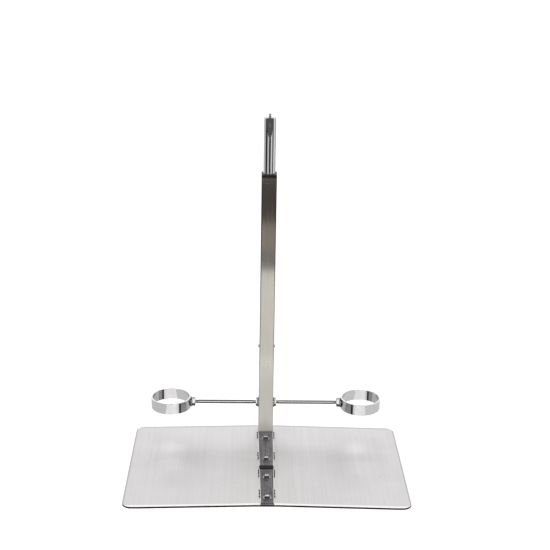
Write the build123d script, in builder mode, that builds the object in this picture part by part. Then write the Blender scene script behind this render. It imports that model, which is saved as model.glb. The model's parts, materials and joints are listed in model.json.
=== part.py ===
from build123d import *

import os
from math import radians, tan

# Countertop stand of stainless steel: a folded base plate carries a square post, the post
# guides a round lifting spindle and two side arms, and each arm holds one cup ring.
# Millimetres, +X right, +Y to the back, +Z up; the origin is under the middle of the stand.

os.makedirs("parts", exist_ok=True)

# ---------------------------------------------------------------- driving dimensions
RUN_GAP = 0.06  # radial clearance of a part that turns or slides on another
THREAD_GAP = 0.02  # radial clearance of a shank in its tapped hole
SEAT_GAP = 0.05  # clearance between pieces pressed or stacked in one body
REST_GAP = 0.1  # air left between a moving piece and the stop that it rests on

FOOT_T = 2.0  # rubber feet
FOOT_R = 9.0

PLATE_W = 450.0
PLATE_D = 280.0
PLATE_T = 3.0
PLATE_CORNER_R = 15.0
PLATE_CROWN = 4.5  # the middle of the plate stands this much above its side edges
PLATE_LAND_W = 36.0  # flat middle strip that carries the foot bars
PLATE_EDGE_W = 24.0  # flat strip along each side, over the feet

POST_W = 25.0
POST_WALL = 1.5
POST_H = 460.0  # from the plate to the top of its rim
POST_CORNER_R = 2.0
POST_INSET = 17.0  # the post's axis stands this far in front of the plate's back edge

RING_R = 34.0
RING_WALL = 2.5
RING_H = 19.0
RING_X = 164.0
ARM_R = 3.0
ARM_H = 53.0  # the arms' axis above the plate

BAR_T = 3.0
BAR_W = 26.6  # the foot bars' width at the post
BAR_END_W = 21.2  # and at the plate's front edge
BAR_SPLIT = (127.0, 139.0)  # the gap between the two foot bars, measured from the post
BAR_SCREWS = (29.2, 105.6, 167.8, 234.0)  # screws, measured from the post
BAR_EDGE = 0.8

SCREW_R = 3.0  # M6
SCREW_HOLE_R = 3.2
SCREW_HEAD_R = 4.7
SCREW_HEAD_H = 3.6
SCREW_CROWN_R = 1.2
WASHER_R = 6.2
WASHER_T = 1.2
NUT_AF = 10.0
NUT_T = 3.2

WELD_R = 2.0
WELD_L = 5.0
WELD_PITCH = 9.2
WELD_BEHIND_SCREW = 18.6

RIM_T = 4.7
BUSH_H = 32.0
ROD_R = 10.0
ROD_SHOW = 92.5  # the spindle's length above the post
ROD_TOP_FILLET = 1.5
FLAT_DEPTH = 1.3  # milled flat at the front of the spindle's head
FLAT_H = 15.0
FLAT_TAPER_H = 18.0  # below it the flat gets shallower until it runs out
HEAD_SCREW_R = 2.0
HEAD_SCREW_DROP = 12.0  # below the spindle's shoulder
HEAD_SCREW_L = 6.0
HEAD_RECESS_R = 2.8
HEAD_RECESS_H = 1.2

PIN_R = 2.5
PIN_L = 29.0
PIN_H = 157.5  # the cross pin above the plate

GUIDE_H = 26.0
GUIDE_W = 21.6
GUIDE_POCKET_R = 8.5
GUIDE_POCKET_H = 9.0
JOURNAL_R = 6.0
THRUST_R = 9.9
THRUST_T = 1.0
JOURNAL_WASHER_R = 8.0
JOURNAL_WASHER_T = 1.6

FINIAL_BASE_R = 3.6
FINIAL_NECK_R = 1.5
FINIAL_NECK_H = 1.5
FINIAL_BALL_R = 2.6
FINIAL_H = 6.0
FINIAL_STUD_R = 2.0
FINIAL_STUD_L = 8.0

PLUG_H = 20.0
PLUG_SCREW_PITCH = 11.0
PLUG_SCREW_HEAD_R = 5.0
PLUG_SCREW_HEAD_H = 3.8
PLUG_SCREW_L = 18.0
PLUG_SOCKET_AF = 4.0

COUPLING_R = 6.0
NUT_FLANGE_R = 8.6
NUT_FLANGE_T = 1.6
NUT_CONE_T = 1.2
NUT_BODY_T = 2.2
ARM_NUT_AF = 13.0
RING_NUT_BODY_T = 4.7

# ---------------------------------------------------------------- worked-out places
LAND_BOTTOM = FOOT_T + PLATE_CROWN
LAND_Z = LAND_BOTTOM + PLATE_T
DEPTH = PLATE_D - POST_INSET + RING_R
PLATE_FRONT = -DEPTH / 2
PLATE_BACK = PLATE_FRONT + PLATE_D
POST_Y = PLATE_BACK - POST_INSET
POST_FRONT = POST_Y - POST_W / 2
POST_TOP = LAND_Z + POST_H
POST_INNER = POST_W - 2 * POST_WALL
ARM_Z = LAND_Z + ARM_H
PIN_Z = LAND_Z + PIN_H
BAR_TOP = LAND_Z + BAR_T
GUIDE_Z = PIN_Z + PIN_R + REST_GAP
ROD_FOOT = GUIDE_Z + GUIDE_H + THRUST_T + REST_GAP
JOURNAL_Z = GUIDE_Z + GUIDE_POCKET_H - REST_GAP
ROD_TOP = POST_TOP + ROD_SHOW
RING_WALL_X = RING_X - RING_R
SCREW_YS = [POST_FRONT - distance for distance in BAR_SCREWS]
SPLIT_YS = [POST_FRONT - distance for distance in BAR_SPLIT]
BAR_TAPER = (BAR_W - BAR_END_W) / (POST_FRONT - PLATE_FRONT)


def bar_half_width(y):
    """Half the width of the foot bars' underside at a place along the plate."""
    return (BAR_W - BAR_TAPER * (POST_FRONT - y)) / 2


def post_plane(height):
    """Level plane on the post's axis."""
    return Plane((0, POST_Y, height))


def arm_plane(x, side=1):
    """Upright plane across the arms' axis; its normal points away from the post."""
    return Plane((side * x, POST_Y, ARM_Z), x_dir=(0, side, 0), z_dir=(side, 0, 0))


# ---------------------------------------------------------------- base plate
side_x = PLATE_W / 2
fold_x = side_x - PLATE_EDGE_W
land_x = PLATE_LAND_W / 2
edge_top = FOOT_T + PLATE_T
fold_line = [
    (-side_x, edge_top),
    (-fold_x, edge_top),
    (-land_x, LAND_Z),
    (land_x, LAND_Z),
    (fold_x, edge_top),
    (side_x, edge_top),
]

with BuildPart() as base_plate:
    with BuildSketch(Plane.XZ.offset(-PLATE_BACK)):
        with BuildLine():
            Polyline(*fold_line, *[(x, z - PLATE_T) for x, z in reversed(fold_line)], close=True)
        make_face()
    extrude(amount=PLATE_D)
    fillet(base_plate.edges().filter_by(Axis.Z), PLATE_CORNER_R)
    with Locations(*[(0, y, LAND_Z) for y in SCREW_YS]):
        Hole(SCREW_HOLE_R)
    with Locations(*[(0, POST_Y + side * PLUG_SCREW_PITCH / 2, LAND_Z) for side in (-1, 1)]):
        Hole(SCREW_HOLE_R)
base_plate.part.label = "base_plate"
export_step(base_plate.part, "parts/base_plate.step")

# ---------------------------------------------------------------- rubber feet
foot_x = side_x - PLATE_EDGE_W / 2
foot_y = PLATE_D / 2 - 2 * FOOT_R

with BuildPart() as rubber_feet:
    with BuildSketch(Plane((0, (PLATE_FRONT + PLATE_BACK) / 2, 0))):
        with GridLocations(2 * foot_x, 2 * foot_y, 2, 2):
            Circle(FOOT_R)
    extrude(amount=FOOT_T)
    chamfer(rubber_feet.edges().group_by(Axis.Z)[0], 0.4)
rubber_feet.part.label = "rubber_feet"
export_step(rubber_feet.part, "parts/rubber_feet.step")

# ---------------------------------------------------------------- foot bars and their spacer
bar_runs = {
    "rear_foot_bar": (POST_FRONT - SEAT_GAP, SPLIT_YS[0], SCREW_YS[:2]),
    "front_foot_bar": (SPLIT_YS[1], PLATE_FRONT, SCREW_YS[2:]),
}

for bar_name, (back_y, front_y, screw_ys) in bar_runs.items():
    with BuildPart() as foot_bar:
        with BuildSketch(Plane.XY.offset(LAND_Z)):
            with BuildLine():
                Polyline(
                    (-bar_half_width(front_y), front_y),
                    (bar_half_width(front_y), front_y),
                    (bar_half_width(back_y), back_y),
                    (-bar_half_width(back_y), back_y),
                    close=True,
                )
            make_face()
        extrude(amount=BAR_T)
        chamfer(foot_bar.faces().sort_by(Axis.Z)[-1].edges(), BAR_EDGE)
        with Locations(*[(0, y, BAR_TOP) for y in screw_ys]):
            Hole(SCREW_HOLE_R)
    foot_bar.part.label = bar_name
    export_step(foot_bar.part, f"parts/{bar_name}.step")

spacer_d = SPLIT_YS[0] - SPLIT_YS[1] - 2 * SEAT_GAP

with BuildPart() as foot_bar_spacer:
    with BuildSketch(Plane((0, sum(SPLIT_YS) / 2, LAND_Z))):
        Rectangle(2 * bar_half_width(SPLIT_YS[1]) - BAR_EDGE, spacer_d)
    extrude(amount=BAR_T + 0.8)
    fillet(foot_bar_spacer.faces().sort_by(Axis.Z)[-1].edges(), 1.0)
foot_bar_spacer.part.label = "foot_bar_spacer"
export_step(foot_bar_spacer.part, "parts/foot_bar_spacer.step")

# ---------------------------------------------------------------- screws, washers and nuts
head_z = BAR_TOP + WASHER_T
shank_end = LAND_BOTTOM - NUT_T - 0.6

with BuildPart() as foot_screw:
    with BuildSketch(Plane.XZ):
        with BuildLine():
            Polyline(
                (SCREW_CROWN_R, head_z + SCREW_HEAD_H),
                (0, head_z + SCREW_HEAD_H),
                (0, shank_end),
                (SCREW_R - 0.5, shank_end),
                (SCREW_R, shank_end + 0.5),
                (SCREW_R, head_z),
                (SCREW_HEAD_R, head_z),
                (SCREW_HEAD_R, head_z + 0.6),
            )
            RadiusArc(
                (SCREW_HEAD_R, head_z + 0.6),
                (SCREW_CROWN_R, head_z + SCREW_HEAD_H),
                -SCREW_HEAD_R,
            )
        make_face()
    revolve(axis=Axis.Z)

with BuildPart() as foot_screws:
    with Locations(*[(0, y, 0) for y in SCREW_YS]):
        add(foot_screw.part)
foot_screws.part.label = "foot_screws"
export_step(foot_screws.part, "parts/foot_screws.step")

with BuildPart() as foot_washers:
    with BuildSketch(Plane.XY.offset(BAR_TOP)):
        with Locations(*[(0, y) for y in SCREW_YS]):
            Circle(WASHER_R)
            Circle(SCREW_HOLE_R, mode=Mode.SUBTRACT)
    extrude(amount=WASHER_T)
    chamfer(foot_washers.edges().filter_by(GeomType.CIRCLE).group_by(Axis.Z)[-1], 0.2)
foot_washers.part.label = "foot_washers"
export_step(foot_washers.part, "parts/foot_washers.step")

with BuildPart() as foot_nuts:
    with BuildSketch(Plane.XY.offset(LAND_BOTTOM - NUT_T)):
        with Locations(*[(0, y) for y in SCREW_YS]):
            RegularPolygon(NUT_AF / 2, 6, major_radius=False)
            Circle(SCREW_R + THREAD_GAP, mode=Mode.SUBTRACT)
    extrude(amount=NUT_T)
foot_nuts.part.label = "foot_nuts"
export_step(foot_nuts.part, "parts/foot_nuts.step")

# ---------------------------------------------------------------- stitch welds along the bars
weld_ys = [
    screw_y + WELD_BEHIND_SCREW + step * WELD_PITCH for screw_y in SCREW_YS for step in (-1, 0, 1)
]

with BuildPart() as stitch_welds:
    for weld_y in weld_ys:
        bar_side = bar_half_width(weld_y + WELD_L / 2) + SEAT_GAP
        with BuildSketch(Plane.XZ.offset(-weld_y - WELD_L / 2)):
            with BuildLine():
                Polyline(
                    (bar_side, LAND_Z + WELD_R),
                    (bar_side, LAND_Z),
                    (bar_side + WELD_R, LAND_Z),
                )
                RadiusArc((bar_side + WELD_R, LAND_Z), (bar_side, LAND_Z + WELD_R), -WELD_R)
            make_face()
        extrude(amount=WELD_L)
    end_arcs = stitch_welds.edges().filter_by(GeomType.CIRCLE)
    chamfer(end_arcs, WELD_R / 2)
    mirror(about=Plane.YZ)
stitch_welds.part.label = "stitch_welds"
export_step(stitch_welds.part, "parts/stitch_welds.step")

# ---------------------------------------------------------------- post
with BuildPart() as post_tube:
    with BuildSketch(post_plane(LAND_Z)):
        RectangleRounded(POST_W, POST_W, POST_CORNER_R)
        RectangleRounded(POST_INNER, POST_INNER, POST_CORNER_R - POST_WALL, mode=Mode.SUBTRACT)
    extrude(amount=POST_H - RIM_T)
    with Locations(arm_plane(0)):
        Hole(ARM_R + 0.2)
    with Locations(Plane((0, POST_Y, PIN_Z), z_dir=(1, 0, 0))):
        Hole(PIN_R + THREAD_GAP)
post_tube.part.label = "post_tube"
export_step(post_tube.part, "parts/post_tube.step")

with BuildPart() as post_rim_cap:
    with BuildSketch(post_plane(POST_TOP - RIM_T)):
        RectangleRounded(POST_W, POST_W, POST_CORNER_R)
        RectangleRounded(POST_INNER, POST_INNER, POST_CORNER_R - POST_WALL, mode=Mode.SUBTRACT)
    extrude(amount=RIM_T)
post_rim_cap.part.label = "post_rim_cap"
export_step(post_rim_cap.part, "parts/post_rim_cap.step")

inner_block_w = POST_INNER - 2 * SEAT_GAP

with BuildPart() as top_guide_bush:
    with BuildSketch(post_plane(POST_TOP - BUSH_H)):
        RectangleRounded(inner_block_w, inner_block_w, POST_CORNER_R - POST_WALL)
        Circle(ROD_R + RUN_GAP, mode=Mode.SUBTRACT)
    extrude(amount=BUSH_H)
    chamfer(top_guide_bush.edges().filter_by(GeomType.CIRCLE).sort_by(Axis.Z)[-1], 0.5)
top_guide_bush.part.label = "top_guide_bush"
export_step(top_guide_bush.part, "parts/top_guide_bush.step")

with BuildPart() as post_foot_plug:
    with BuildSketch(post_plane(LAND_Z)):
        RectangleRounded(inner_block_w, inner_block_w, POST_CORNER_R - POST_WALL)
    extrude(amount=PLUG_H)
    with Locations(post_plane(LAND_Z + PLUG_H)):
        with Locations((0, -PLUG_SCREW_PITCH / 2), (0, PLUG_SCREW_PITCH / 2)):
            Hole(SCREW_R + THREAD_GAP)
post_foot_plug.part.label = "post_foot_plug"
export_step(post_foot_plug.part, "parts/post_foot_plug.step")

with BuildPart() as post_foot_screws:
    with BuildSketch(post_plane(LAND_BOTTOM - PLUG_SCREW_HEAD_H)):
        with Locations((0, -PLUG_SCREW_PITCH / 2), (0, PLUG_SCREW_PITCH / 2)):
            Circle(PLUG_SCREW_HEAD_R)
    extrude(amount=PLUG_SCREW_HEAD_H)
    with BuildSketch(post_plane(LAND_BOTTOM - PLUG_SCREW_HEAD_H)):
        with Locations((0, -PLUG_SCREW_PITCH / 2), (0, PLUG_SCREW_PITCH / 2)):
            RegularPolygon(PLUG_SOCKET_AF / 2, 6, major_radius=False)
    extrude(amount=PLUG_SCREW_HEAD_H / 2, mode=Mode.SUBTRACT)
    with BuildSketch(post_plane(LAND_BOTTOM)):
        with Locations((0, -PLUG_SCREW_PITCH / 2), (0, PLUG_SCREW_PITCH / 2)):
            Circle(SCREW_R)
    extrude(amount=PLUG_SCREW_L)
post_foot_screws.part.label = "post_foot_screws"
export_step(post_foot_screws.part, "parts/post_foot_screws.step")

with BuildPart() as cross_pin:
    with BuildSketch(Plane((-PIN_L / 2, POST_Y, PIN_Z), z_dir=(1, 0, 0))):
        Circle(PIN_R)
    extrude(amount=PIN_L)
    fillet(cross_pin.edges().filter_by(GeomType.CIRCLE), 0.8)
cross_pin.part.label = "cross_pin"
export_step(cross_pin.part, "parts/cross_pin.step")

# ---------------------------------------------------------------- lower guide, slides in the post
with BuildPart() as lower_guide:
    with BuildSketch(post_plane(GUIDE_Z)):
        RectangleRounded(GUIDE_W, GUIDE_W, 1.0)
        Circle(JOURNAL_R + RUN_GAP, mode=Mode.SUBTRACT)
    extrude(amount=GUIDE_H)
    with BuildSketch(post_plane(GUIDE_Z)):
        Circle(GUIDE_POCKET_R)
    extrude(amount=GUIDE_POCKET_H, mode=Mode.SUBTRACT)
lower_guide.part.label = "lower_guide"
export_step(lower_guide.part, "parts/lower_guide.step")

with BuildPart() as thrust_washer:
    with BuildSketch(post_plane(GUIDE_Z + GUIDE_H)):
        Circle(THRUST_R)
        Circle(JOURNAL_R + RUN_GAP, mode=Mode.SUBTRACT)
    extrude(amount=THRUST_T)
thrust_washer.part.label = "thrust_washer"
export_step(thrust_washer.part, "parts/thrust_washer.step")

# ---------------------------------------------------------------- spindle
flat_y = POST_Y - ROD_R + FLAT_DEPTH
flat_end = ROD_TOP - FLAT_H
flat_plane = Plane((0, flat_y, ROD_TOP - HEAD_SCREW_DROP), x_dir=(1, 0, 0), z_dir=(0, -1, 0))

with BuildPart() as spindle_rod:
    with BuildSketch(post_plane(ROD_FOOT)):
        Circle(ROD_R)
    extrude(amount=ROD_TOP - ROD_FOOT)
    fillet(spindle_rod.faces().sort_by(Axis.Z)[-1].edges(), ROD_TOP_FILLET)
    with BuildSketch(post_plane(JOURNAL_Z)):
        Circle(JOURNAL_R)
    extrude(amount=ROD_FOOT - JOURNAL_Z)
    with BuildSketch(Plane.YZ.offset(-ROD_R)):
        with BuildLine():
            Polyline(
                (flat_y, flat_end),
                (flat_y, ROD_TOP + ROD_TOP_FILLET),
                (flat_y - ROD_R, ROD_TOP + ROD_TOP_FILLET),
                (flat_y - ROD_R, flat_end - FLAT_TAPER_H * ROD_R / FLAT_DEPTH),
                close=True,
            )
        make_face()
    extrude(amount=2 * ROD_R, mode=Mode.SUBTRACT)
    with Locations(flat_plane):
        Hole(HEAD_SCREW_R + THREAD_GAP, depth=HEAD_SCREW_L + 1)
        Hole(HEAD_RECESS_R, depth=HEAD_RECESS_H)
    with Locations(post_plane(ROD_TOP)):
        Hole(FINIAL_STUD_R + THREAD_GAP, depth=FINIAL_STUD_L + 0.5)
    with BuildSketch(post_plane(JOURNAL_Z)):
        Circle(SCREW_R + THREAD_GAP)
    extrude(amount=PLUG_SCREW_L, mode=Mode.SUBTRACT)
spindle_rod.part.label = "spindle_rod"
export_step(spindle_rod.part, "parts/spindle_rod.step")

with BuildPart() as head_screw:
    with BuildSketch(flat_plane.offset(-0.3)):
        Circle(HEAD_SCREW_R)
    extrude(amount=-HEAD_SCREW_L)
    with BuildSketch(flat_plane.offset(-0.3)):
        RegularPolygon(HEAD_SCREW_R / 2, 6, major_radius=False)
    extrude(amount=-HEAD_SCREW_R, mode=Mode.SUBTRACT)
head_screw.part.label = "head_screw"
export_step(head_screw.part, "parts/head_screw.step")

with BuildPart() as finial:
    with BuildSketch(Plane.XZ.offset(-POST_Y)):
        with BuildLine():
            Line((0, ROD_TOP), (FINIAL_BASE_R, ROD_TOP))
            ball_z = ROD_TOP + FINIAL_H - FINIAL_BALL_R
            neck_z = ROD_TOP + FINIAL_NECK_H
            RadiusArc((FINIAL_BASE_R, ROD_TOP), (FINIAL_NECK_R, neck_z), 2 * FINIAL_NECK_H)
            Line((FINIAL_NECK_R, neck_z), (FINIAL_NECK_R, ball_z - FINIAL_BALL_R / 2))
            Line((FINIAL_NECK_R, ball_z - FINIAL_BALL_R / 2), (FINIAL_BALL_R, ball_z))
            RadiusArc((FINIAL_BALL_R, ball_z), (0, ROD_TOP + FINIAL_H), -FINIAL_BALL_R)
            Line((0, ROD_TOP + FINIAL_H), (0, ROD_TOP))
        make_face()
    revolve(axis=Axis((0, POST_Y, 0), (0, 0, 1)))
    with BuildSketch(post_plane(ROD_TOP)):
        Circle(FINIAL_STUD_R)
    extrude(amount=-FINIAL_STUD_L)
finial.part.label = "finial"
export_step(finial.part, "parts/finial.step")

with BuildPart() as journal_washer:
    with BuildSketch(post_plane(JOURNAL_Z - JOURNAL_WASHER_T)):
        Circle(JOURNAL_WASHER_R)
        Circle(SCREW_HOLE_R, mode=Mode.SUBTRACT)
    extrude(amount=JOURNAL_WASHER_T)
journal_washer.part.label = "journal_washer"
export_step(journal_washer.part, "parts/journal_washer.step")

with BuildPart() as journal_screw:
    with BuildSketch(post_plane(JOURNAL_Z - JOURNAL_WASHER_T)):
        Circle(SCREW_R)
    extrude(amount=JOURNAL_WASHER_T + PLUG_SCREW_L - 2)
    with BuildSketch(post_plane(JOURNAL_Z - JOURNAL_WASHER_T)):
        Circle(PLUG_SCREW_HEAD_R)
    extrude(amount=-PLUG_SCREW_HEAD_H)
journal_screw.part.label = "journal_screw"
export_step(journal_screw.part, "parts/journal_screw.step")

# ---------------------------------------------------------------- arms
with BuildPart() as arm_coupling:
    with BuildSketch(arm_plane(-inner_block_w / 2)):
        Circle(COUPLING_R)
        Circle(ARM_R + THREAD_GAP, mode=Mode.SUBTRACT)
    extrude(amount=inner_block_w)
arm_coupling.part.label = "arm_coupling"
export_step(arm_coupling.part, "parts/arm_coupling.step")

for side_name, side in (("left", -1), ("right", 1)):
    with BuildPart() as arm_rod:
        with BuildSketch(arm_plane(0.5, side)):
            Circle(ARM_R)
        extrude(amount=RING_WALL_X + RING_WALL - 0.7)
        chamfer(arm_rod.edges().filter_by(GeomType.CIRCLE), 0.4)
    arm_rod.part.label = f"{side_name}_arm_rod"
    export_step(arm_rod.part, f"parts/{side_name}_arm_rod.step")

    # each nut is a flange, a cone and a hexagon, and its flange faces the post or the ring
    nuts = {
        "post_nut": (arm_plane(POST_W / 2, side), NUT_BODY_T),
        "ring_nut": (
            Plane(
                (side * (RING_WALL_X - 0.3), POST_Y, ARM_Z),
                x_dir=(0, side, 0),
                z_dir=(-side, 0, 0),
            ),
            RING_NUT_BODY_T,
        ),
    }
    for nut_name, (seat, body_t) in nuts.items():
        nut_t = NUT_FLANGE_T + NUT_CONE_T + body_t
        corner_cone_t = (NUT_FLANGE_R - ARM_NUT_AF / 2) * tan(radians(30))
        with BuildPart() as turned_blank:
            with BuildSketch(seat):
                Circle(NUT_FLANGE_R)
            extrude(amount=nut_t - corner_cone_t)
            with BuildSketch(seat.offset(nut_t - corner_cone_t)):
                Circle(NUT_FLANGE_R)
            with BuildSketch(seat.offset(nut_t)):
                Circle(ARM_NUT_AF / 2)
            loft()
        with BuildPart() as flange_nut:
            with BuildSketch(seat):
                Circle(NUT_FLANGE_R)
            extrude(amount=NUT_FLANGE_T)
            with BuildSketch(seat.offset(NUT_FLANGE_T)):
                Circle(NUT_FLANGE_R)
            with BuildSketch(seat.offset(NUT_FLANGE_T + NUT_CONE_T)):
                Circle(ARM_NUT_AF / 2)
            loft()
            with BuildSketch(seat.offset(NUT_FLANGE_T)):
                RegularPolygon(ARM_NUT_AF / 2, 6, major_radius=False)
            extrude(amount=nut_t - NUT_FLANGE_T)
            add(turned_blank.part, mode=Mode.INTERSECT)
            with BuildSketch(seat):
                Circle(ARM_R + THREAD_GAP)
            extrude(amount=nut_t, mode=Mode.SUBTRACT)
        flange_nut.part.label = f"{side_name}_{nut_name}"
        export_step(flange_nut.part, f"parts/{side_name}_{nut_name}.step")

    with BuildPart() as cup_ring:
        with BuildSketch(Plane((side * RING_X, POST_Y, ARM_Z - RING_H / 2))):
            Circle(RING_R)
            Circle(RING_R - RING_WALL, mode=Mode.SUBTRACT)
        extrude(amount=RING_H)
        fillet(cup_ring.edges().filter_by(GeomType.CIRCLE), 0.5)
        with BuildSketch(arm_plane(RING_WALL_X - 1, side)):
            Circle(ARM_R + RUN_GAP)
        extrude(amount=2 * RING_WALL, mode=Mode.SUBTRACT)
    cup_ring.part.label = f"{side_name}_cup_ring"
    export_step(cup_ring.part, f"parts/{side_name}_cup_ring.step")
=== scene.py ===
import json
import math

import bmesh
import bpy
from mathutils import Matrix, Vector


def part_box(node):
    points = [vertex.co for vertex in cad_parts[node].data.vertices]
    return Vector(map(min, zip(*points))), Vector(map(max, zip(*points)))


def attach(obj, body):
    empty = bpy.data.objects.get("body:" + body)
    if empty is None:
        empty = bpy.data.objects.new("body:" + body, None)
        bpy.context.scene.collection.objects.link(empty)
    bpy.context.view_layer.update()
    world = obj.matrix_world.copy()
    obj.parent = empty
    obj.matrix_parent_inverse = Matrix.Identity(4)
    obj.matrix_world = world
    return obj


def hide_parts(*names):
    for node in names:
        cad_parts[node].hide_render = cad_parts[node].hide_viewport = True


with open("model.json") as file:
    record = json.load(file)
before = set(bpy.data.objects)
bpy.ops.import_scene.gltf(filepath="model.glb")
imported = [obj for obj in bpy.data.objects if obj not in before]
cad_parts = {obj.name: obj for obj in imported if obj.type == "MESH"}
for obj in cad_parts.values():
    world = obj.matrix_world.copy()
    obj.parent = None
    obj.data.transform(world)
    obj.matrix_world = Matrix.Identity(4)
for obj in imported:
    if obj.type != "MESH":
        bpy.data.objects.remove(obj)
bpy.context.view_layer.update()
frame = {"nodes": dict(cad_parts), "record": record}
nodes = frame["nodes"]
scene = bpy.context.scene
scene.view_settings.view_transform = "Standard"

# ---------------------------------------------------------------- places read from the CAD
post_low, post_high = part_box("post_tube")
plate_low, plate_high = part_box("base_plate")
post_y = (post_low.y + post_high.y) / 2
land_z = post_low.z


# ---------------------------------------------------------------- camera
def place_camera(location, yaw, pitch, roll, lens):
    """The angles are in degrees: yaw to the right, pitch downwards, roll anticlockwise."""
    yaw, pitch, roll = (math.radians(angle) for angle in (yaw, pitch, roll))
    ahead = Vector((math.sin(yaw) * math.cos(pitch), math.cos(yaw) * math.cos(pitch), -math.sin(pitch)))
    right = Vector((math.cos(yaw), -math.sin(yaw), 0))
    up = right.cross(ahead)
    side = right * math.cos(roll) + up * math.sin(roll)
    top = up * math.cos(roll) - right * math.sin(roll)
    data = bpy.data.cameras.new("camera")
    data.lens = lens
    data.sensor_width = 36
    camera = bpy.data.objects.new("camera", data)
    scene.collection.objects.link(camera)
    turn = Matrix((side, top, -ahead)).transposed().to_4x4()
    camera.matrix_world = Matrix.Translation(location) @ turn
    scene.camera = camera


place_camera((-0.03331, -1.79155, 0.94244), yaw=1.366, pitch=18.759, roll=0.975, lens=78.789)


# ---------------------------------------------------------------- node helpers
def add_node(tree, kind, inputs=(), **settings):
    """Adds a shader node; inputs maps a socket to a value or to another node's output."""
    node = tree.nodes.new(kind)
    for key, value in settings.items():
        setattr(node, key, value)
    for key, value in dict(inputs).items():
        socket = node.inputs[key]
        if isinstance(value, bpy.types.NodeSocket):
            tree.links.new(value, socket)
        else:
            socket.default_value = value
    return node


def ramp(tree, fac, stops):
    """Colour ramp; stops are (position, grey or colour)."""
    node = add_node(tree, "ShaderNodeValToRGB", {"Fac": fac})
    elements = node.color_ramp.elements
    while len(elements) < len(stops):
        elements.new(0.5)
    for element, (position, colour) in zip(elements, stops):
        element.position = position
        grey = not hasattr(colour, "__len__")
        element.color = (*((colour,) * 3 if grey else colour), 1)
    return node.outputs["Color"]


def grain(tree, scale, detail=3.0, shift=0.0):
    """Noise in the piece's own space; scale is how many features a metre has along each axis."""
    coords = add_node(tree, "ShaderNodeTexCoord").outputs["Object"]
    mapping = add_node(
        tree,
        "ShaderNodeMapping",
        {"Vector": coords, "Location": (shift,) * 3, "Scale": scale},
    )
    noise = add_node(
        tree,
        "ShaderNodeTexNoise",
        {"Vector": mapping.outputs["Vector"], "Scale": 1.0, "Detail": detail, "Roughness": 0.5},
    )
    return noise.outputs["Fac"]


def spread(tree, value, source, target):
    """Maps a value from the source range to the target range."""
    node = add_node(
        tree,
        "ShaderNodeMapRange",
        {
            "Value": value,
            "From Min": source[0],
            "From Max": source[1],
            "To Min": target[0],
            "To Max": target[1],
        },
    )
    return node.outputs["Result"]


def math_node(tree, operation, first, second):
    """One sum, product or the like; an operation on one value ignores the second."""
    node = add_node(tree, "ShaderNodeMath", {0: first, 1: second}, operation=operation)
    return node.outputs["Value"]


def blend(tree, first, second, share):
    """Adds two values; share is the second one's part of the sum."""
    first_part = math_node(tree, "MULTIPLY", first, 1 - share)
    second_part = math_node(tree, "MULTIPLY", second, share)
    return math_node(tree, "ADD", first_part, second_part)


def part_of(tree, vector, axis):
    """One of a vector's three numbers; axis is X, Y or Z."""
    return add_node(tree, "ShaderNodeSeparateXYZ", {0: vector}).outputs[axis]


def place(tree, axis):
    """Where a point of the piece lies along one axis, in metres, moving with the piece."""
    return part_of(tree, add_node(tree, "ShaderNodeTexCoord").outputs["Object"], axis)


def facing(tree, axis):
    """How far the surface faces along one axis, from -1 to 1."""
    return part_of(tree, add_node(tree, "ShaderNodeNewGeometry").outputs["Normal"], axis)


def facing_either_way(tree, axis):
    """How far the surface faces along one axis or against it, from 0 to 1."""
    return math_node(tree, "ABSOLUTE", facing(tree, axis), 0.0)


def mix_colour(tree, fac, first, second):
    """The first colour where fac is 0, the second where it is 1."""
    colour_a, colour_b, colour_out = 6, 7, 2
    node = add_node(tree, "ShaderNodeMix", {0: fac}, data_type="RGBA")
    for socket, value in ((colour_a, first), (colour_b, second)):
        if isinstance(value, bpy.types.NodeSocket):
            tree.links.new(value, node.inputs[socket])
        else:
            node.inputs[socket].default_value = value
    return node.outputs[colour_out]


def bump(tree, height, strength, distance, under=None):
    """Fine relief as deep as distance, in metres, on top of the relief under it."""
    inputs = {"Height": height, "Strength": strength, "Distance": distance}
    if under is not None:
        inputs["Normal"] = under
    return add_node(tree, "ShaderNodeBump", inputs).outputs["Normal"]


def new_material(name, metallic):
    """An empty material, with its node tree and its shader."""
    material = bpy.data.materials.new(name)
    material.use_nodes = True
    shader = material.node_tree.nodes["Principled BSDF"]
    shader.inputs["Metallic"].default_value = metallic
    return material, material.node_tree, shader


def feed(tree, shader, **inputs):
    """Joins node outputs to the shader's sockets, named with underscores."""
    for key, value in inputs.items():
        tree.links.new(value, shader.inputs[key.replace("_", " ").title()])


# ---------------------------------------------------------------- metals
def brushed(tree, shader, amount, across=None):
    """Spreads reflections across the brushing, which runs up the piece unless across is given."""
    shader.inputs["Anisotropic"].default_value = amount
    if across is None:
        tangent = add_node(tree, "ShaderNodeTangent", direction_type="RADIAL", axis="Z").outputs["Tangent"]
    else:
        tangent = add_node(tree, "ShaderNodeCombineXYZ", dict(zip("XYZ", across))).outputs["Vector"]
    tree.links.new(tangent, shader.inputs["Tangent"])


# depths of the relief in metres
WAVE_DEPTH = 0.00012
SCRATCH_DEPTH = 0.000015


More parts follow.
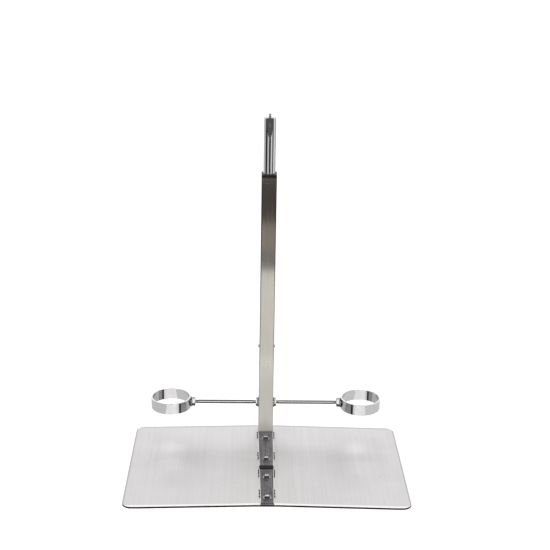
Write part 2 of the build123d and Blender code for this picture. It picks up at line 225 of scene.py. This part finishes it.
def metal(name, dark, light, gloss, brush, brush_bump, patch=30.0, wave=0.0, scratch=None):
    """Metal with fine brushing over soft patches, and a slow wave or scratches where asked.

    brush and scratch are the grain's scale along each axis.
    """
    material, tree, shader = new_material(name, 1.0)
    fine = grain(tree, brush, detail=4.0)
    patches = grain(tree, (patch,) * 3, detail=2.0, shift=3.7)
    shade = blend(tree, fine, patches, 0.4)
    colour = ramp(tree, shade, [(0.32, dark), (0.68, light)])
    roughness = spread(tree, shade, (0.3, 0.7), gloss)
    normal = bump(tree, fine, 1.0, brush_bump)
    if wave:
        normal = bump(tree, grain(tree, (wave,) * 3, detail=1.0, shift=1.3), 1.0, WAVE_DEPTH, normal)
    if scratch:
        lines = grain(tree, scratch, detail=1.0, shift=9.1)
        cuts = ramp(tree, lines, [(0.62, 0.0), (0.66, 1.0)])
        roughness = math_node(tree, "ADD", roughness, math_node(tree, "MULTIPLY", cuts, 0.12))
        normal = bump(tree, cuts, 0.6, SCRATCH_DEPTH, normal)
    feed(tree, shader, base_color=colour, roughness=roughness, normal=normal)
    return material


def drawn_metal(name):
    """Dark drawn rod with a painted highlight, a bright line along its upper flank."""
    material, tree, shader = new_material(name, 1.0)
    fine = grain(tree, (30, 900, 900), detail=4.0)
    dark_tone = ramp(tree, fine, [(0.3, (0.13, 0.125, 0.12)), (0.7, (0.2, 0.19, 0.185))])
    # painted highlight: colour bright where the surface faces partly upwards, a line along the rod's upper
    # flank
    painted_light = ramp(tree, facing(tree, "Z"), [(0.13, 0.0), (0.25, 1.0), (0.5, 1.0), (0.62, 0.0)])
    colour = mix_colour(tree, painted_light, dark_tone, (0.66, 0.65, 0.64, 1))
    roughness = spread(tree, fine, (0.3, 0.7), (0.05, 0.12))
    feed(tree, shader, base_color=colour, roughness=roughness, normal=bump(tree, fine, 1.0, 0.000002))
    return material


def post_metal(name):
    """Square tube brushed along its length, with painted dark reflections on its rounded corners, and satin
    by its foot with painted light there, lightest beside the plate.
    """
    material, tree, shader = new_material(name, 1.0)
    brushed(tree, shader, 1.0)
    fine = grain(tree, (1600, 1600, 9), detail=4.0)
    patches = grain(tree, (22, 22, 22), detail=2.0, shift=3.7)
    shade = blend(tree, fine, patches, 0.4)
    sheet = ramp(tree, shade, [(0.32, (0.425, 0.405, 0.36)), (0.68, (0.51, 0.487, 0.43))])
    height = place(tree, "Z")
    # painted light: the colour grows lighter towards the foot and is lightest beside the plate; the foot is
    # also rougher and less metallic
    foot = spread(tree, height, (land_z + 0.11, land_z + 0.15), (1.0, 0.0))
    rise = spread(tree, height, (land_z + 0.03, land_z + 0.08), (0.0, 1.0))
    painted_light = mix_colour(tree, rise, (0.90, 0.868, 0.795, 1), (0.75, 0.725, 0.66, 1))
    sheet_and_painted_foot = mix_colour(tree, foot, sheet, painted_light)
    # painted dark reflection on the rounded corners, stronger higher up
    corner = ramp(tree, facing_either_way(tree, "X"), [(0.10, 0.0), (0.30, 1.0), (0.90, 1.0), (0.99, 0.0)])
    fade = spread(tree, height, (0.2, 0.36), (0.25, 0.9))
    colour = mix_colour(tree, math_node(tree, "MULTIPLY", corner, fade), sheet_and_painted_foot, (0.05, 0.045, 0.04, 1))
    lines = grain(tree, (500, 500, 6), detail=1.0, shift=9.1)
    cuts = ramp(tree, lines, [(0.62, 0.0), (0.66, 1.0)])
    gloss = spread(tree, shade, (0.3, 0.7), (0.125, 0.155))
    gloss = math_node(tree, "ADD", gloss, math_node(tree, "MULTIPLY", foot, 0.27))
    roughness = math_node(tree, "ADD", gloss, math_node(tree, "MULTIPLY", cuts, 0.08))
    normal = bump(tree, cuts, 0.6, 0.000012, bump(tree, fine, 1.0, 0.000006))
    polish = spread(tree, foot, (0.0, 1.0), (1.0, 0.33))
    feed(tree, shader, base_color=colour, metallic=polish, roughness=roughness, normal=normal)
    return material


def ring_metal(name):
    """Mirror-bright band, with a painted dark reflection of the post as a line down the flank that faces it.
    """
    material = metal(
        name,
        (0.73, 0.73, 0.74),
        (0.80, 0.80, 0.81),
        (0.03, 0.08),
        (60, 60, 900),
        0.000003,
        wave=45.0,
        scratch=(120, 120, 1500),
    )
    tree = material.node_tree
    base = tree.nodes["Principled BSDF"].inputs["Base Color"]
    bright = base.links[0].from_socket
    # painted reflection: a dark line down each ring's flank that faces the post
    side = math_node(tree, "SIGN", place(tree, "X"), 0.0)
    outward = math_node(tree, "MULTIPLY", side, facing(tree, "X"))
    inward = math_node(tree, "MULTIPLY", outward, -1.0)
    line = ramp(tree, inward, [(0.44, 0.0), (0.46, 1.0), (0.53, 1.0), (0.57, 0.0)])
    tree.links.new(mix_colour(tree, line, bright, (0.05, 0.05, 0.055, 1)), base)
    return material


def crowned_metal(name):
    """Dark screw heads with a painted dark reflection on their sides and a painted highlight on their crowns.
    """
    material, tree, shader = new_material(name, 1.0)
    fine = grain(tree, (1200, 1200, 1200), detail=4.0)
    dark_tone = ramp(tree, fine, [(0.3, (0.03, 0.028, 0.03)), (0.7, (0.075, 0.07, 0.075))])
    # painted highlight on the crowns that face up or down; the dark tone elsewhere on the heads is painted
    # dark reflection
    painted_crown_highlight = ramp(tree, facing_either_way(tree, "Z"), [(0.76, 0.0), (0.86, 1.0)])
    colour = mix_colour(tree, painted_crown_highlight, dark_tone, (0.88, 0.88, 0.87, 1))
    roughness = spread(tree, fine, (0.3, 0.7), (0.12, 0.22))
    feed(tree, shader, base_color=colour, roughness=roughness, normal=bump(tree, fine, 1.0, 0.000005))
    return material


def plate_metal(name):
    """Sheet brushed from front to back, smudged, with dark brown cut edges, a few specks, a painted highlight
    along the front edge and a darker rim along the sides and back.
    """
    material, tree, shader = new_material(name, 1.0)
    fine = grain(tree, (2200, 14, 2200), detail=3.0)
    broad = grain(tree, (260, 5, 260), detail=2.0, shift=4.4)
    smudge = grain(tree, (14, 22, 14), detail=3.0, shift=2.1)
    streaks = blend(tree, fine, broad, 0.5)
    shade = blend(tree, streaks, smudge, 0.35)
    brushed(tree, shader, 0.7, across=(1.0, 0.0, 0.0))
    sheet = ramp(tree, shade, [(0.34, (0.595, 0.582, 0.583)), (0.66, (0.705, 0.691, 0.694))])
    speckle = ramp(tree, grain(tree, (330,) * 3, detail=0.0, shift=7.7), [(0.875, 0.0), (0.9, 1.0)])
    sheet = mix_colour(tree, speckle, sheet, (0.25, 0.24, 0.24, 1))
    along = place(tree, "Y")
    # painted highlight: a light band within about 6 mm of the front edge
    painted_edge_highlight = spread(tree, along, (plate_low.y + 0.0045, plate_low.y + 0.0065), (1.0, 0.0))
    sheet = mix_colour(tree, painted_edge_highlight, sheet, (0.93, 0.915, 0.90, 1))
    # darker within a few millimetres of the side and back edges
    outward = math_node(tree, "ABSOLUTE", place(tree, "X"), 0.0)
    aside = spread(tree, outward, (plate_high.x - 0.003, plate_high.x - 0.002), (0, 1))
    behind = spread(tree, along, (plate_high.y - 0.005, plate_high.y - 0.003), (0, 1))
    darker_rim = math_node(tree, "MULTIPLY", math_node(tree, "MAXIMUM", aside, behind), 0.4)
    sheet = mix_colour(tree, darker_rim, sheet, (0.2, 0.195, 0.19, 1))
    cut = ramp(tree, facing_either_way(tree, "Z"), [(0.55, 1.0), (0.8, 0.0)])
    heat = grain(tree, (40, 40, 900), shift=5.2)
    scorch = ramp(tree, heat, [(0.35, (0.006, 0.004, 0.004)), (0.7, (0.055, 0.02, 0.014))])
    colour = mix_colour(tree, cut, sheet, scorch)
    gloss = spread(tree, shade, (0.3, 0.7), (0.38, 0.46))
    roughness = math_node(tree, "ADD", gloss, math_node(tree, "MULTIPLY", cut, 0.15))
    normal = bump(tree, streaks, 1.0, 0.00003)
    feed(tree, shader, base_color=colour, roughness=roughness, normal=normal)
    return material


def bar_metal(name):
    """Darkened steel, streaked along the bar, with a painted highlight on its bevelled sides."""
    material, tree, shader = new_material(name, 1.0)
    streaks = grain(tree, (700, 22, 700), detail=4.0)
    mottle = grain(tree, (190, 110, 190), detail=3.0, shift=5.5)
    shade = blend(tree, streaks, mottle, 0.4)
    tones = [(0.36, (0.085, 0.082, 0.093)), (0.5, (0.14, 0.135, 0.15)), (0.66, (0.24, 0.23, 0.25))]
    dark_tone = ramp(tree, shade, tones)
    rear = spread(tree, place(tree, "Y"), (post_low.y - 0.13, post_low.y - 0.12), (0.0, 0.16))
    dark_tone = mix_colour(tree, rear, dark_tone, (0.36, 0.35, 0.37, 1))
    # painted highlight: the bevelled sides, facing sideways, are bright
    painted_side_highlight = ramp(tree, facing_either_way(tree, "X"), [(0.3, 0.0), (0.5, 1.0)])
    colour = mix_colour(tree, painted_side_highlight, dark_tone, (0.85, 0.85, 0.86, 1))
    roughness = spread(tree, shade, (0.3, 0.7), (0.42, 0.26))
    normal = bump(tree, shade, 1.0, 0.00004)
    feed(tree, shader, base_color=colour, roughness=roughness, normal=normal)
    return material


# ---------------------------------------------------------------- rubber, plastic, nylon and weld scale
def soft_plastic(name, dark, light, gloss, pore, bump_depth, sheen=0.0, shine=0.5):
    """Dull surface with fine pores and slightly dusty patches."""
    material, tree, shader = new_material(name, 0.0)
    shader.inputs["Sheen Weight"].default_value = sheen
    shader.inputs["Specular IOR Level"].default_value = shine
    pores = grain(tree, (pore,) * 3, detail=4.0)
    dust = grain(tree, (70,) * 3, detail=3.0, shift=6.3)
    colour = ramp(tree, dust, [(0.35, dark), (0.7, light)])
    roughness = spread(tree, pores, (0.3, 0.7), gloss)
    feed(tree, shader, base_color=colour, roughness=roughness, normal=bump(tree, pores, 1.0, bump_depth))
    return material


MATERIALS = {
    "brushed_plate": plate_metal("brushed_plate"),
    "brushed_post": post_metal("brushed_post"),
    "crowned_screw": crowned_metal("crowned_screw"),
    "polished_bar": bar_metal("polished_bar"),
    "drawn_rod": drawn_metal("drawn_rod"),
    "polished_rod": metal(
        "polished_rod",
        (0.58, 0.58, 0.59),
        (0.65, 0.65, 0.66),
        (0.03, 0.07),
        (900, 900, 30),
        0.000002,
        wave=60.0,
    ),
    "mirror_ring": ring_metal("mirror_ring"),
    "bright_fastener": metal(
        "bright_fastener",
        (0.24, 0.232, 0.23),
        (0.36, 0.35, 0.345),
        (0.06, 0.16),
        (1200, 1200, 1200),
        0.000006,
        patch=300.0,
    ),
    "plain_steel": metal(
        "plain_steel",
        (0.38, 0.375, 0.37),
        (0.56, 0.555, 0.55),
        (0.22, 0.38),
        (1500, 1500, 400),
        0.00001,
        patch=120.0,
    ),
    "weld_metal": soft_plastic(
        "weld_metal", (0.006, 0.005, 0.006), (0.03, 0.024, 0.022), (0.6, 0.85), 1800, 0.00006, shine=0.12
    ),
    "bearing_brass": metal(
        "bearing_brass",
        (0.60, 0.44, 0.18),
        (0.78, 0.60, 0.28),
        (0.16, 0.28),
        (1200, 1200, 60),
        0.000008,
        patch=150.0,
    ),
    "foot_rubber": soft_plastic(
        "foot_rubber", (0.02, 0.02, 0.02), (0.05, 0.048, 0.046), (0.6, 0.85), 1800, 0.00006, sheen=0.15
    ),
    "spacer_rubber": soft_plastic(
        "spacer_rubber", (0.006, 0.003, 0.004), (0.02, 0.01, 0.012), (0.4, 0.65), 1500, 0.00005, shine=0.2
    ),
    "black_plastic": soft_plastic(
        "black_plastic", (0.005, 0.005, 0.0055), (0.015, 0.0145, 0.015), (0.3, 0.5), 1600, 0.00003, shine=0.25
    ),
    "natural_nylon": soft_plastic(
        "natural_nylon", (0.74, 0.73, 0.68), (0.84, 0.83, 0.79), (0.35, 0.5), 1200, 0.00003
    ),
}

for subpart in frame["record"]["subparts"]:
    for holder in nodes[subpart["node"]].material_slots:
        holder.material = MATERIALS[subpart["material_slot"]]


# ---------------------------------------------------------------- detailed pieces
def new_piece(name, mesh, body, slot, replaced):
    """Shows a detailed mesh instead of the CAD nodes that it replaces."""
    piece = bpy.data.objects.new(name, mesh)
    scene.collection.objects.link(piece)
    mesh.materials.append(MATERIALS[slot])
    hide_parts(*replaced)
    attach(piece, body)


def skin(name, sections):
    """Joins equal loops of points into a tube with capped ends and smooth sides."""
    shape = bmesh.new()
    loops = [[shape.verts.new(point) for point in section] for section in sections]
    count = len(sections[0])
    for near, far in zip(loops, loops[1:]):
        for i in range(count):
            j = (i + 1) % count
            shape.faces.new((near[i], near[j], far[j], far[i]))
    shape.faces.new(loops[0][::-1])
    shape.faces.new(loops[-1])
    bmesh.ops.recalc_face_normals(shape, faces=shape.faces)
    for face in shape.faces:
        face.smooth = True
    mesh = bpy.data.meshes.new(name)
    shape.to_mesh(mesh)
    shape.free()
    mesh.set_sharp_from_angle(angle=math.radians(35))
    return mesh


# the arms' thread, in metres
PITCH = 0.001
THREAD_DEPTH = 0.0005
RINGS_PER_TURN = 8
ARM_SEGMENTS = 48


def threaded_bar(name, ends, radius, centre, threads):
    """Round bar along X with a helical thread on the given stretches of its length."""
    start, end = ends
    chamfer = THREAD_DEPTH
    stations = [(start, radius - chamfer), (start + chamfer, radius)]
    stations += [(end - chamfer, radius), (end, radius - chamfer)]
    for low, high in threads:
        steps = round((high - low) / PITCH * RINGS_PER_TURN)
        stations += [(low + (high - low) * i / steps, radius) for i in range(steps + 1)]
    sections = []
    for x, station_radius in sorted(stations):
        loop = []
        for i in range(ARM_SEGMENTS):
            angle = 2 * math.pi * i / ARM_SEGMENTS
            depth = 0
            for low, high in threads:
                if low <= x <= high:
                    fade = min(1, (x - low) / PITCH, (high - x) / PITCH)
                    turn = (x / PITCH - i / ARM_SEGMENTS) % 1
                    depth = fade * THREAD_DEPTH * abs(2 * turn - 1)
            r = station_radius - depth
            loop.append((x, centre.y + r * math.cos(angle), centre.z + r * math.sin(angle)))
        sections.append(loop)
    return skin(name, sections)


# lengths of thread that show beside the nuts
RING_THREAD = 0.006
POST_THREAD = 0.005

for side in ("left", "right"):
    rod_low, rod_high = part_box(f"{side}_arm_rod")
    post_nut_low, post_nut_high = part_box(f"{side}_post_nut")
    ring_nut_low, ring_nut_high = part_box(f"{side}_ring_nut")
    if side == "left":
        by_ring = (ring_nut_high.x, ring_nut_high.x + RING_THREAD)
        by_post = (post_nut_low.x - POST_THREAD, post_nut_low.x)
    else:
        by_ring = (ring_nut_low.x - RING_THREAD, ring_nut_low.x)
        by_post = (post_nut_high.x, post_nut_high.x + POST_THREAD)
    rod_mesh = threaded_bar(
        f"{side}_arm_bar",
        (rod_low.x, rod_high.x),
        (rod_high.z - rod_low.z) / 2,
        (rod_low + rod_high) / 2,
        [by_ring, by_post],
    )
    new_piece(f"{side}_arm_bar", rod_mesh, "stand", "drawn_rod", [f"{side}_arm_rod"])


# the weld beads' surface
BEAD_STEPS = 18
BEAD_ARC_STEPS = 8
BEAD_RIPPLES = 5
RIPPLE_DEPTH = 0.12
BEAD_END = 0.02
SAME_BEAD = 0.003


def weld_beads(name):
    """Short rippled beads in the corner between the plate and the side of each foot bar."""
    shape = bmesh.new()
    weld_low, weld_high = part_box("stitch_welds")
    radius = weld_high.z - weld_low.z
    for low, high, inner_x in islands_along_y(nodes["stitch_welds"]):
        for side in (-1, 1):
            add_bead(shape, side, inner_x, (low, high), weld_low.z, radius)
    bmesh.ops.recalc_face_normals(shape, faces=shape.faces)
    for face in shape.faces:
        face.smooth = True
    mesh = bpy.data.meshes.new(name)
    shape.to_mesh(mesh)
    shape.free()
    mesh.set_sharp_from_angle(angle=math.radians(50))
    return mesh


def islands_along_y(node):
    """The (low y, high y, smallest x) of each pair of solids on the node's two sides."""
    spans = []
    for y, x in sorted((vertex.co.y, abs(vertex.co.x)) for vertex in node.data.vertices):
        if spans and y - spans[-1][1] < SAME_BEAD:
            spans[-1][1] = y
            spans[-1][2] = min(spans[-1][2], x)
        else:
            spans.append([y, y, x])
    return spans


def add_bead(shape, side, inner_x, span, base_z, radius):
    """Adds one quarter-round bead, rippled along its length; side is -1 or 1."""
    low, high = span
    loops = []
    for i in range(BEAD_STEPS + 1):
        t = i / BEAD_STEPS
        along = low + (high - low) * t
        swell = math.sqrt(max(BEAD_END, 1 - (2 * t - 1) ** 4))
        ripple = 1 - RIPPLE_DEPTH * abs(math.sin(t * math.pi * BEAD_RIPPLES))
        r = radius * swell * ripple
        points = [(side * inner_x, along, base_z)]
        for j in range(BEAD_ARC_STEPS + 1):
            angle = math.pi / 2 * j / BEAD_ARC_STEPS
            points.append((side * (inner_x + r * math.cos(angle)), along, base_z + r * math.sin(angle)))
        loops.append([shape.verts.new(point) for point in points])
    count = BEAD_ARC_STEPS + 2
    for near, far in zip(loops, loops[1:]):
        for j in range(count):
            k = (j + 1) % count
            shape.faces.new((near[j], near[k], far[k], far[j]))
    shape.faces.new(loops[0])
    shape.faces.new(loops[-1][::-1])


new_piece("weld_beads", weld_beads("weld_beads"), "stand", "weld_metal", ["stitch_welds"])


# ---------------------------------------------------------------- rounded edges on CAD pieces
def round_edges(node, width):
    """Breaks the sharp edges of a CAD piece so that they catch the light."""
    weld = nodes[node].modifiers.new("join", "WELD")
    weld.merge_threshold = 0.00001
    bevel = nodes[node].modifiers.new("edges", "BEVEL")
    bevel.width = width
    bevel.segments = 3
    bevel.limit_method = "ANGLE"
    bevel.angle_limit = math.radians(30)
    bevel.harden_normals = True


round_edges("base_plate", 0.0003)


# ---------------------------------------------------------------- studio
def glow(name, colour):
    """Plain surface that gives light evenly."""
    material = bpy.data.materials.new(name)
    material.use_nodes = True
    tree = material.node_tree
    tree.nodes.clear()
    light = add_node(tree, "ShaderNodeEmission", {"Color": (*colour, 1), "Strength": 1.0})
    out = add_node(tree, "ShaderNodeOutputMaterial")
    tree.links.new(light.outputs[0], out.inputs["Surface"])
    return material


def flat_panel(name, corners, height, material):
    """Level sheet of the studio that isn't part of the object."""
    mesh = bpy.data.meshes.new(name)
    mesh.from_pydata([(x, y, height) for x, y in corners], [], [range(len(corners))])
    mesh.materials.append(material)
    panel = bpy.data.objects.new(name, mesh)
    scene.collection.objects.link(panel)
    return panel


def reflector(name, corners, height, colour):
    """Card that only shows as a reflection in the polished pieces."""
    card = flat_panel(name, corners, height, glow(name, colour))
    card.visible_camera = False
    card.visible_diffuse = False
    card.visible_shadow = False


def fan(start, end, near, far):
    """Corners of a sector round the post; angles in degrees from the front, positive to the right."""
    steps = 6
    turns = [math.radians(start + (end - start) * i / steps) for i in range(steps + 1)]
    inner = [(near * math.sin(a), post_y - near * math.cos(a)) for a in turns]
    outer = [(far * math.sin(a), post_y - far * math.cos(a)) for a in reversed(turns)]
    return inner + outer


def floor_material():
    """Pale matt floor, bright enough to look white."""
    material, tree, shader = new_material("studio_floor", 0.0)
    tone = ramp(tree, grain(tree, (1.5, 1.5, 1.5), detail=2.0), [(0.3, 0.235), (0.7, 0.265)])
    shader.inputs["Roughness"].default_value = 0.9
    shader.inputs["Emission Color"].default_value = (1, 1, 1, 1)
    shader.inputs["Emission Strength"].default_value = 0.97
    feed(tree, shader, base_color=tone)
    return material


# half the floor's width, in metres
REACH = 20
floor_corners = [(-REACH, -REACH), (REACH, -REACH), (REACH, REACH), (-REACH, REACH)]
flat_panel("floor", floor_corners, 0.0, floor_material())

# heights of the cards above the floor, so that none lies in another's plane
ZONE_HEIGHT = 0.002
FLAG_HEIGHT = 0.001
CARD_HEIGHT = 0.0015

# tones round the front, from the post outwards: (near radius, far radius, colour)
ZONES = [
    (0.935, 1.095, (0.31, 0.296, 0.31)),
    (1.095, 1.35, (0.47, 0.415, 0.375)),
    (1.35, 1.85, (0.105, 0.091, 0.088)),
]
for number, (near, far, colour) in enumerate(ZONES):
    reflector(f"zone_{number}", fan(-52, 60, near, far), ZONE_HEIGHT, colour)

# flags round the rod: (start, end, near, far, tone) in degrees and metres
FLAGS = [
    (-17, 27, 1.85, 2.45, 0.06),
    (-17, 27, 2.45, 18.0, 0.125),
    (-34, -17, 1.85, 3.8, 0.90),
    (-50, -34, 1.85, 3.8, 0.55),
    (-76, -50, 0.3, 3.8, 0.012),
    (-98, -76, 1.3, 3.8, 0.50),
    (-132, -98, 1.3, 3.8, 0.78),
    (27, 42, 1.85, 3.8, 1.20),
    (42, 60, 1.85, 3.8, 0.48),
    (60, 78, 0.3, 3.8, 0.12),
    (78, 104, 1.3, 3.8, 1.15),
    (104, 175, 1.3, 3.8, 0.55),
]
for number, (start, end, near, far, tone) in enumerate(FLAGS):
    reflector(f"flag_{number}", fan(start, end, near, far), FLAG_HEIGHT, (tone, tone * 0.985, tone))

# cards beside and behind the plate: (name, lowest x, highest x, lowest y, highest y, tone)
CARDS = [
    ("left_side_card", plate_low.x - 0.6, plate_low.x - 0.003, -0.35, 0.35, 0.64),
    ("right_side_card", plate_high.x + 0.003, plate_high.x + 0.6, -0.35, 0.35, 0.69),
    ("back_card", -0.135, 0.135, plate_high.y + 0.002, plate_high.y + 0.17, 0.51),
]
for name, low_x, high_x, low_y, high_y, tone in CARDS:
    corners = [(low_x, low_y), (high_x, low_y), (high_x, high_y), (low_x, high_y)]
    reflector(name, corners, CARD_HEIGHT, (tone, tone, tone * 1.005))

# the brightest tone of the sky, which its ramps are scaled by
SKY_PEAK = 3.0


def sky():
    """Studio walls and ceiling as light by direction, plain white straight into the camera."""
    world = bpy.data.worlds.new("studio")
    scene.world = world
    world.use_nodes = True
    tree = world.node_tree
    tree.nodes.clear()
    direction = add_node(tree, "ShaderNodeTexCoord").outputs["Generated"]
    lift = math_node(tree, "ARCSINE", part_of(tree, direction, "Z"), 0.0)
    height = spread(tree, lift, (-math.pi / 2, math.pi / 2), (0, 1))
    ahead = math_node(tree, "MULTIPLY", part_of(tree, direction, "Y"), -1.0)
    around = math_node(tree, "ARCTAN2", part_of(tree, direction, "X"), ahead)
    turn = spread(tree, around, (-math.pi, math.pi), (0, 1))

    def wall(stops):
        """Tone by height; stops are (angle above the horizon in degrees, tone)."""
        return ramp(tree, height, [((angle + 90) / 180, tone / SKY_PEAK) for angle, tone in stops])

    dark_ceiling = [(44, 0.05), (60, 0.05), (76, 0.42), (90, 0.5)]
    behind = wall([(-90, 1.0), (0, 1.17), (44, 1.17), (51, 0.06), (60, 0.05), (76, 0.42), (90, 0.5)])
    before = wall([(-90, 1.0), (-1, 0.9), (0, 0.5), (30, 0.8), (40, 0.8), *dark_ceiling])
    softbox = wall([(-90, 1.0), (-1, 0.9), (0, 0.3), (22, 0.3), (25, 2.9), (39, 2.9), *dark_ceiling])

    def sector(start, end, soft):
        """1 between two directions, in degrees from the front, fading over soft at each end."""
        stops = [(start - soft, 0.0), (start + soft, 1.0), (end - soft, 1.0), (end + soft, 0.0)]
        return ramp(tree, turn, [((angle + 180) / 360, tone) for angle, tone in stops])

    front = mix_colour(tree, sector(-40, 54, 2), before, softbox)
    tone = mix_colour(tree, sector(-95, 95, 12), behind, front)
    studio = add_node(tree, "ShaderNodeBackground", {"Color": tone, "Strength": SKY_PEAK})
    plain = add_node(tree, "ShaderNodeBackground", {"Color": (1, 1, 1, 1), "Strength": 1.0})
    seen = add_node(tree, "ShaderNodeLightPath").outputs["Is Camera Ray"]
    both = add_node(tree, "ShaderNodeMixShader", {0: seen, 1: studio.outputs[0], 2: plain.outputs[0]})
    out = add_node(tree, "ShaderNodeOutputWorld")
    tree.links.new(both.outputs[0], out.inputs["Surface"])


sky()
